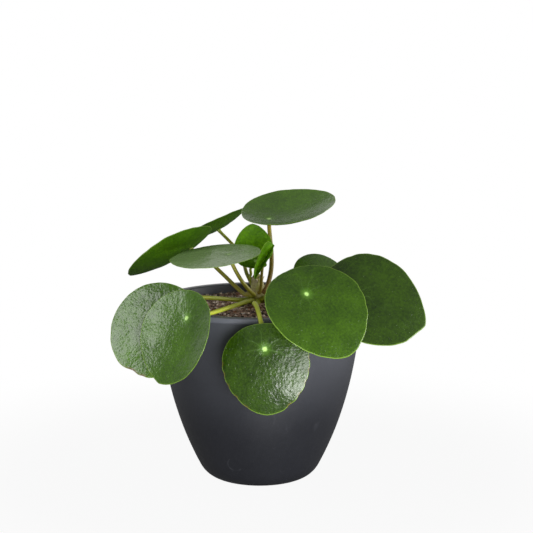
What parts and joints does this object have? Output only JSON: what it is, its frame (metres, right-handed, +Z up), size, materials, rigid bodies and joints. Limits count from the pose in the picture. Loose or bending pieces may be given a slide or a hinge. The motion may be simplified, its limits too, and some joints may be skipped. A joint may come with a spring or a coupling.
{
  "type": "potted pilea plant",
  "caption": "Round-leaved house plant with leaf blades on long stalks round a short stem, growing from soil in a plain round tapered pot with a flat foot.",
  "frame": {"origin": "centre of the pot's foot, on the surface that it stands on", "axes": "+Z up along the pot's axis, -Y towards the front of the plant, +X to the right seen from the front"},
  "size_m": [0.2418, 0.2225, 0.2271],
  "materials": {
    "pot": "matt slate grey, unglazed, with faint scuffs",
    "soil": "dry crumbly potting mix with bark and pale fibres",
    "stem": "rough brown bark with leaf scars",
    "leaf": "waxy mid green, faintly veined",
    "young_leaf": "soft bright green",
    "stalk": "smooth olive green, reddish brown in places",
    "stipule": "dry papery brown"
  },
  "bodies": {
    "root": {"pot": "pot", "soil": "soil", "stem": "stem", "leaf_top": "leaf", "leaf_middle": "leaf", "leaf_back_left": "leaf", "leaf_far": "leaf", "leaf_left": "leaf", "leaf_front_left": "leaf", "leaf_front": "leaf", "leaf_front_right": "leaf", "leaf_right": "leaf", "leaf_rear_right": "leaf", "leaf_young": "young_leaf", "leaf_folded": "young_leaf", "stalk_top": "stalk", "stalk_middle": "stalk", "stalk_back_left": "stalk", "stalk_far": "stalk", "stalk_left": "stalk", "stalk_front_left": "stalk", "stalk_front": "stalk", "stalk_front_right": "stalk", "stalk_right": "stalk", "stalk_rear_right": "stalk", "stalk_young": "stalk", "stalk_folded": "stalk", "stipule_1": "stipule", "stipule_2": "stipule", "stipule_3": "stipule"}
  },
  "joints": []
}
